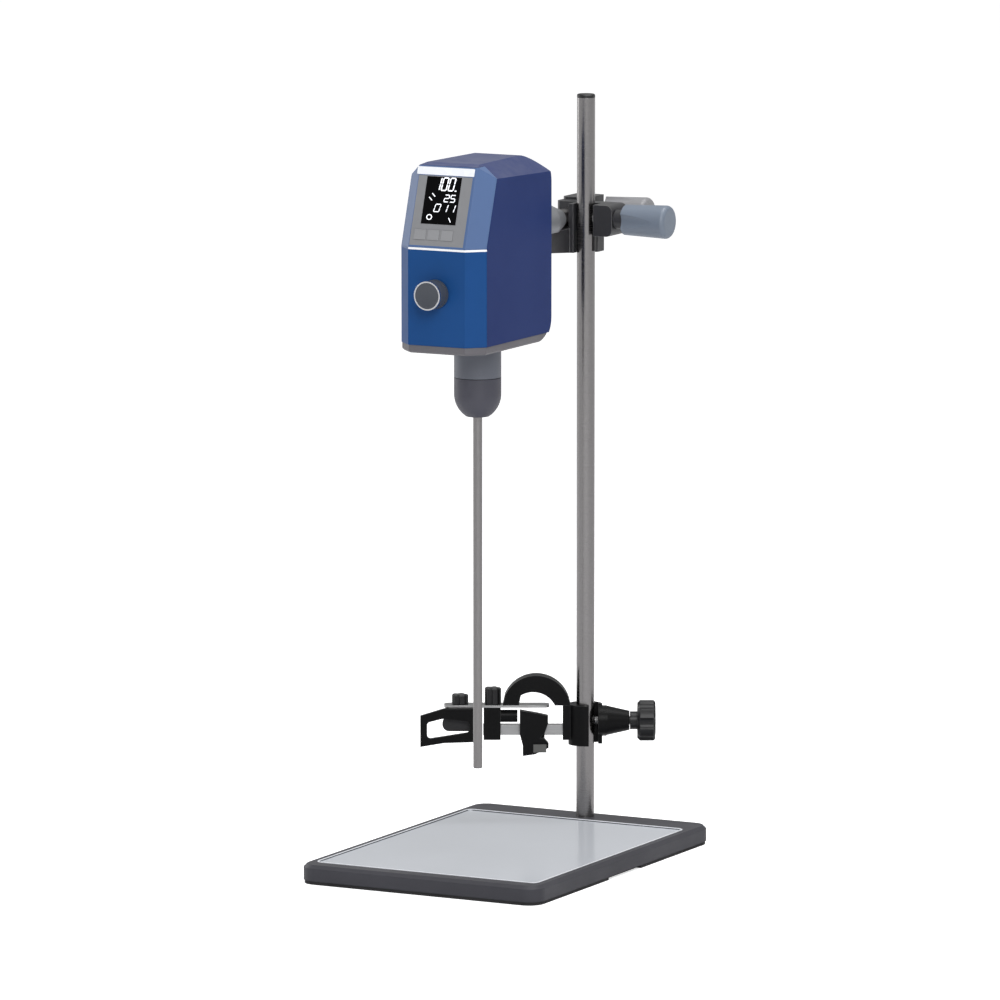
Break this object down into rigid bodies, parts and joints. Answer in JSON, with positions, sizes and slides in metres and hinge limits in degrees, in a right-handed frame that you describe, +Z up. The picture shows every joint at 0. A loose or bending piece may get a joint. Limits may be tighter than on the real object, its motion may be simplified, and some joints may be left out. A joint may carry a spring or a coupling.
{
  "type": "overhead stirrer",
  "caption": "Overhead laboratory stirrer with a keyless chuck and plain stirring rod, carried by a boss head on a plate stand with a vessel clamp.",
  "frame": {"origin": "centre of the rubber ring under the base plate, on the bench", "axes": "+X to the right seen from the front, +Y to the back where the column stands, +Z up the column"},
  "size_m": [0.2419, 0.383, 0.66],
  "materials": {
    "dark_frame": "fine satin, dark grey",
    "panel": "smooth, pale blue-grey",
    "bare_steel": "ground and polished",
    "zinc_steel": "zinc plated",
    "rubber": "matt",
    "black_cast": "black powder coat, semi-gloss",
    "cap_plastic": "matt black",
    "liner_plastic": "slippery",
    "blue_shell": "satin blue",
    "front_blue": "satin blue",
    "bezel_blue": "satin light blue",
    "warm_grey": "fine matt film",
    "white_strip": "bright white",
    "tray_grey": "fine matt grey",
    "lens_black": "polished black window",
    "board_green": "solder-masked board",
    "knob_grey": "satin dark grey",
    "bright_ring": "bright",
    "clamp_knob_grey": "satin blue-grey",
    "far_knob_grey": "satin warm grey",
    "sleeve_grey": "bead blasted",
    "chuck_grey": "satin grey",
    "chuck_dark": "satin dark grey",
    "motor_steel": "plain"
  },
  "bodies": {
    "stand": {"base_frame": "dark_frame", "base_panel": "panel", "ballast_plate": "zinc_steel", "ballast_screws": "zinc_steel", "foot_ring": "rubber", "column": "bare_steel", "column_nut": "zinc_steel", "column_cap": "cap_plastic"},
    "boss_carriage": {"column_liner": "liner_plastic"},
    "boss": {"boss_head": "black_cast"},
    "column_screw_body": {"column_screw": "zinc_steel"},
    "column_knob_body": {"column_knob": "clamp_knob_grey"},
    "arm_screw_body": {"arm_screw": "zinc_steel"},
    "arm_knob_body": {"arm_knob": "far_knob_grey"},
    "head": {"arm_rod": "bare_steel", "arm_sleeve": "sleeve_grey", "arm_nut": "zinc_steel", "main_housing": "blue_shell", "front_cover": "front_blue", "display_bezel": "bezel_blue", "accent_strip": "white_strip", "fascia": "warm_grey", "display_lens": "lens_black", "display_module": "cap_plastic", "bottom_cover": "tray_grey", "housing_screws": "zinc_steel", "control_board": "board_green", "encoder": "zinc_steel", "power_module": "cap_plastic", "motor_plate": "motor_steel", "motor_stator": "motor_steel", "spindle_bearings": "zinc_steel"},
    "key_left_body": {"key_left": "warm_grey"},
    "key_middle_body": {"key_middle": "warm_grey"},
    "key_right_body": {"key_right": "warm_grey"},
    "knob_press_body": {"encoder_shaft": "zinc_steel"},
    "knob_body": {"control_knob": "knob_grey", "knob_ring": "bright_ring"},
    "rocker_body": {"power_rocker": "cap_plastic"},
    "spindle_body": {"spindle": "bare_steel", "motor_rotor": "zinc_steel", "chuck_body": "chuck_grey"},
    "chuck_sleeve_body": {"chuck_sleeve": "chuck_dark"},
    "jaw_a_body": {"chuck_jaw_a": "zinc_steel"},
    "jaw_b_body": {"chuck_jaw_b": "zinc_steel"},
    "jaw_c_body": {"chuck_jaw_c": "zinc_steel"},
    "rod_body": {"stirring_rod": "bare_steel"},
    "clamp_carriage": {"clamp_liner": "liner_plastic"},
    "clamp": {"clamp_boss": "black_cast", "clamp_strip": "zinc_steel", "guide_bar": "bare_steel", "spacer_block": "black_cast"},
    "clamp_screw_body": {"clamp_screw": "zinc_steel"},
    "clamp_knob_body": {"clamp_knob": "cap_plastic"},
    "fork_body": {"fork_jaw": "black_cast", "fork_pad": "rubber"},
    "hook_body": {"hook_jaw": "black_cast", "hook_pad": "rubber"},
    "fork_thumb_body": {"wing_screw_fork": "cap_plastic"},
    "strip_thumb_body": {"wing_screw_strip": "cap_plastic"}
  },
  "joints": [
    {"name": "boss_height", "type": "slide", "parent": "stand", "child": "boss_carriage", "axis": [0, 0, 1], "range_m": [-0.06, 0.08]},
    {"name": "boss_swivel", "type": "hinge", "parent": "boss_carriage", "child": "boss", "pos_m": [0, 0.15, 0.5305], "axis": [0, 0, 1], "range_deg": [-45, 45]},
    {"name": "column_screw_travel", "type": "slide", "parent": "boss", "child": "column_screw_body", "axis": [1, 0, 0], "range_m": [0, 0.0025]},
    {"name": "column_knob_turn", "type": "hinge", "parent": "column_screw_body", "child": "column_knob_body", "pos_m": [0.0305, 0.15, 0.551], "axis": [1, 0, 0], "range_deg": [0, 720]},
    {"name": "arm_screw_travel", "type": "slide", "parent": "boss", "child": "arm_screw_body", "axis": [1, 0, 0], "range_m": [0, 0.0025]},
    {"name": "arm_knob_turn", "type": "hinge", "parent": "arm_screw_body", "child": "arm_knob_body", "pos_m": [-0.0075, 0.1865, 0.5525], "axis": [1, 0, 0], "range_deg": [0, 720]},
    {"name": "arm_slide", "type": "slide", "parent": "boss", "child": "head", "axis": [0, 1, 0], "range_m": [-0.02, 0.003]},
    {"name": "key_left_press", "type": "slide", "parent": "head", "child": "key_left_body", "axis": [0, 0.9523, -0.3051], "range_m": [0, 0.0006], "stiffness_N_per_m": 400},
    {"name": "key_middle_press", "type": "slide", "parent": "head", "child": "key_middle_body", "axis": [0, 0.9523, -0.3051], "range_m": [0, 0.0006], "stiffness_N_per_m": 400},
    {"name": "key_right_press", "type": "slide", "parent": "head", "child": "key_right_body", "axis": [0, 0.9523, -0.3051], "range_m": [0, 0.0006], "stiffness_N_per_m": 400},
    {"name": "knob_press", "type": "slide", "parent": "head", "child": "knob_press_body", "axis": [0, 1, 0], "range_m": [0, 0.001], "stiffness_N_per_m": 800},
    {"name": "knob_turn", "type": "hinge", "parent": "knob_press_body", "child": "knob_body", "pos_m": [-0.0205, -0.1, 0.509], "axis": [0, 1, 0], "continuous": true},
    {"name": "power_switch", "type": "hinge", "parent": "head", "child": "rocker_body", "pos_m": [-0.0205, 0.042, 0.512], "axis": [0, 0, 1], "range_deg": [-18, 0]},
    {"name": "spindle_turn", "type": "hinge", "parent": "head", "child": "spindle_body", "pos_m": [-0.0205, -0.016, 0.44], "axis": [0, 0, 1], "continuous": true},
    {"name": "chuck_sleeve_turn", "type": "hinge", "parent": "spindle_body", "child": "chuck_sleeve_body", "pos_m": [-0.0205, -0.016, 0.41], "axis": [0, 0, 1], "range_deg": [0, 720]},
    {"name": "jaw_a_travel", "type": "slide", "parent": "spindle_body", "child": "jaw_a_body", "axis": [0.1801, 0.104, 0.9781], "range_m": [0, 0.004]},
    {"name": "jaw_b_travel", "type": "slide", "parent": "spindle_body", "child": "jaw_b_body", "axis": [-0.1801, 0.104, 0.9781], "range_m": [0, 0.004]},
    {"name": "jaw_c_travel", "type": "slide", "parent": "spindle_body", "child": "jaw_c_body", "axis": [0, -0.2079, 0.9781], "range_m": [0, 0.004]},
    {"name": "rod_slide", "type": "slide", "parent": "spindle_body", "child": "rod_body", "axis": [0, 0, -1], "range_m": [0, 0.03]},
    {"name": "clamp_height", "type": "slide", "parent": "stand", "child": "clamp_carriage", "axis": [0, 0, 1], "range_m": [-0.045, 0.28]},
    {"name": "clamp_swivel", "type": "hinge", "parent": "clamp_carriage", "child": "clamp", "pos_m": [0, 0.15, 0.09], "axis": [0, 0, 1], "range_deg": [-60, 60]},
    {"name": "clamp_screw_travel", "type": "slide", "parent": "clamp", "child": "clamp_screw_body", "axis": [0.8874, 0.461, 0], "range_m": [0, 0.0025]},
    {"name": "clamp_knob_turn", "type": "hinge", "parent": "clamp_screw_body", "child": "clamp_knob_body", "pos_m": [0.04437, 0.17305, 0.103], "axis": [0.8874, 0.461, 0], "range_deg": [0, 720]},
    {"name": "fork_swivel", "type": "hinge", "parent": "clamp", "child": "fork_body", "pos_m": [-0.0985, 0.09883, 0.114], "axis": [0, 0, 1], "range_deg": [-15, 15]},
    {"name": "hook_slide", "type": "slide", "parent": "clamp", "child": "hook_body", "axis": [0.8874, 0.461, 0], "range_m": [0, 0.012]},
    {"name": "fork_thumb_turn", "type": "hinge", "parent": "clamp", "child": "fork_thumb_body", "pos_m": [-0.0985, 0.09883, 0.12], "axis": [0, 0, 1], "range_deg": [0, 360]},
    {"name": "strip_thumb_turn", "type": "hinge", "parent": "clamp", "child": "strip_thumb_body", "pos_m": [-0.07277, 0.1122, 0.125], "axis": [0, 0, 1], "range_deg": [0, 360]}
  ],
  "couplings": [
    {"joint": "column_screw_travel", "follows": "column_knob_turn", "m_per_rad": 0.00019894},
    {"joint": "arm_screw_travel", "follows": "arm_knob_turn", "m_per_rad": 0.00019894},
    {"joint": "clamp_screw_travel", "follows": "clamp_knob_turn", "m_per_rad": 0.00019894},
    {"joint": "jaw_a_travel", "follows": "chuck_sleeve_turn", "m_per_rad": 0.00031831},
    {"joint": "jaw_b_travel", "follows": "chuck_sleeve_turn", "m_per_rad": 0.00031831},
    {"joint": "jaw_c_travel", "follows": "chuck_sleeve_turn", "m_per_rad": 0.00031831}
  ]
}
